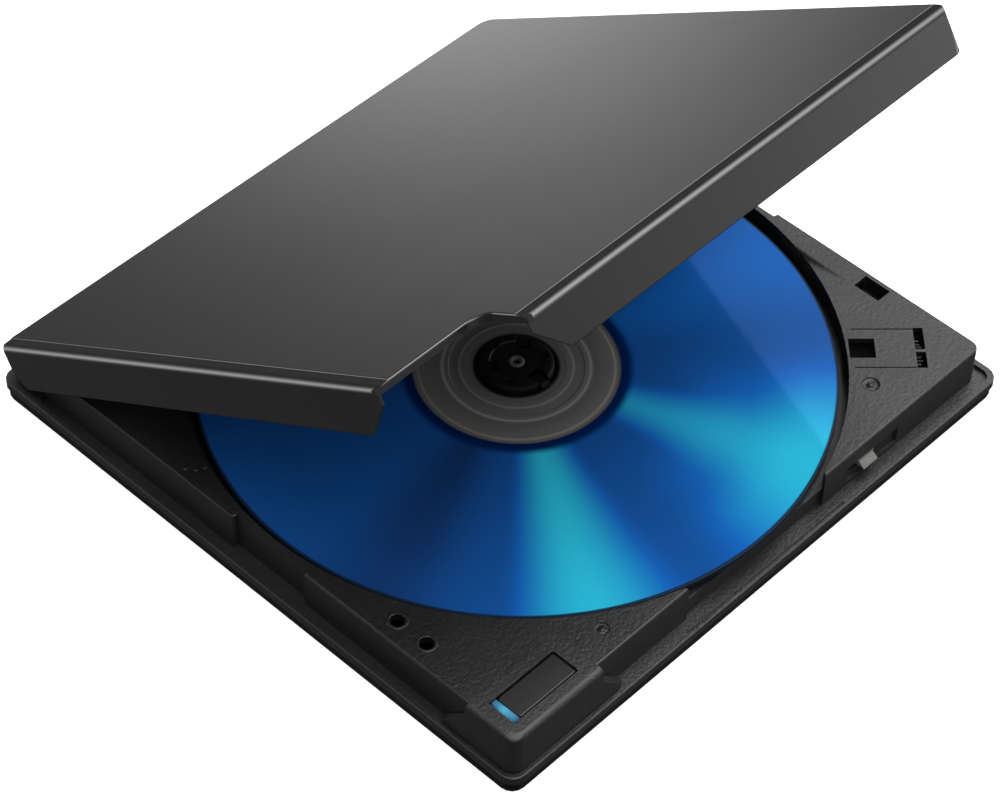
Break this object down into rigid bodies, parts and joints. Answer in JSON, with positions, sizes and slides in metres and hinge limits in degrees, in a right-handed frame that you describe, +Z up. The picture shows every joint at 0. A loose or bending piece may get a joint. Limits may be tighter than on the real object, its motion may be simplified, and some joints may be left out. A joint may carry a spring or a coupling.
{
  "type": "external optical drive",
  "caption": "Slim square portable disc drive with a rear-hinged lid standing open over a disc in its well, an open button block in one corner and a pickup drive inside.",
  "frame": {"origin": "bottom centre of the object on the plane its four rubber feet stand on, midway between the base sides", "axes": "+X right along the front edge, +Y towards the hinge at the back, +Z up"},
  "size_m": [0.133, 0.134, 0.083],
  "materials": {
    "lid_paint": "satin dark grey metallic paint",
    "black_moulding": "black, fine spark texture",
    "dark_moulding": "charcoal, fine leather-like mould texture",
    "button_gloss": "smooth satin black",
    "blue_light": "clear blue light strip",
    "grey_moulding": "light grey acetal",
    "disc_blue": "blue recording layer under clear polycarbonate",
    "steel": "bright ground steel",
    "sheet_steel": "zinc-coated sheet",
    "die_cast": "die cast, dull",
    "rubber": "matt black",
    "board_green": "green solder mask",
    "chip_black": "moulded epoxy",
    "optical_glass": "clear, coated",
    "amber_film": "polyimide film",
    "brass": "wound enamelled copper wire, shown as brass"
  },
  "bodies": {
    "base": {"bottom_case": "black_moulding", "button_bezel": "dark_moulding", "button_board": "board_green", "button_switch": "chip_black", "case_screw_back_left": "steel", "case_screw_back_right": "steel", "case_screw_front_left": "steel", "case_screw_front_right": "steel", "chassis_plate": "sheet_steel", "controller_chip": "chip_black", "data_port": "steel", "deck_frame": "dark_moulding", "driver_chip": "chip_black", "foot_back_left": "rubber", "foot_back_right": "rubber", "foot_front_left": "rubber", "foot_front_right": "rubber", "guide_rail_far": "steel", "guide_rail_near": "steel", "hinge_pin_left": "steel", "hinge_pin_right": "steel", "lid_switch": "chip_black", "lid_switch_board": "board_green", "light_pipe": "blue_light", "main_board": "board_green", "memory_chip": "chip_black", "motor_base": "sheet_steel", "motor_coils": "brass", "mount_screw_1": "steel", "mount_screw_2": "steel", "mount_screw_3": "steel", "pickup_film": "amber_film", "release_coil": "brass", "rubber_mount_1": "rubber", "rubber_mount_2": "rubber", "rubber_mount_3": "rubber", "screw_bearing": "die_cast", "sled_motor": "die_cast", "status_light": "blue_light"},
    "lid": {"lid_cover": "lid_paint", "lid_liner": "dark_moulding", "lid_catch": "dark_moulding", "lid_peg": "dark_moulding"},
    "spindle": {"turntable": "black_moulding", "turntable_pad": "rubber", "disc": "disc_blue"},
    "claw_1": {"clamp_claw_1": "black_moulding"},
    "claw_2": {"clamp_claw_2": "black_moulding"},
    "claw_3": {"clamp_claw_3": "black_moulding"},
    "open_button": {"open_button": "button_gloss"},
    "latch": {"latch_slider": "grey_moulding", "latch_plunger": "steel"},
    "sled": {"pickup_body": "die_cast"},
    "lens": {"lens_holder": "black_moulding", "objective_lens": "optical_glass"},
    "lead_screw": {"lead_screw": "steel"}
  },
  "joints": [
    {"name": "lid_hinge", "type": "hinge", "parent": "base", "child": "lid", "pos_m": [0, 0.06075, 0.0101], "axis": [1, 0, 0], "range_deg": [0, 33.1]},
    {"name": "spindle_spin", "type": "hinge", "parent": "base", "child": "spindle", "pos_m": [0, -0.0036, 0.008], "axis": [0, 0, 1], "continuous": true},
    {"name": "open_button_press", "type": "slide", "parent": "base", "child": "open_button", "axis": [0, 0, -1], "range_m": [0, 0.00045], "stiffness_N_per_m": 800},
    {"name": "latch_slide", "type": "slide", "parent": "base", "child": "latch", "axis": [1, 0, 0], "range_m": [-0.002, 0]},
    {"name": "sled_slide", "type": "slide", "parent": "base", "child": "sled", "axis": [0.7071, 0.7071, 0], "range_m": [0, 0.0335]},
    {"name": "lead_screw_spin", "type": "hinge", "parent": "base", "child": "lead_screw", "pos_m": [0.03712, 0.0017, 0.0043], "axis": [0.7071, 0.7071, 0], "range_deg": [0, 4020]},
    {"name": "lens_focus", "type": "slide", "parent": "sled", "child": "lens", "axis": [0, 0, 1], "range_m": [-0.0004, 0.0004], "stiffness_N_per_m": 60},
    {"name": "claw_1_press", "type": "slide", "parent": "spindle", "child": "claw_1", "axis": [-0.866, -0.5, 0], "range_m": [0, 0.0006], "stiffness_N_per_m": 300},
    {"name": "claw_2_press", "type": "slide", "parent": "spindle", "child": "claw_2", "axis": [0.866, -0.5, 0], "range_m": [0, 0.0006], "stiffness_N_per_m": 300},
    {"name": "claw_3_press", "type": "slide", "parent": "spindle", "child": "claw_3", "axis": [0, 1, 0], "range_m": [0, 0.0006], "stiffness_N_per_m": 300}
  ],
  "couplings": [
    {"joint": "lead_screw_spin", "follows": "sled_slide", "rad_per_m": 2094.4}
  ]
}
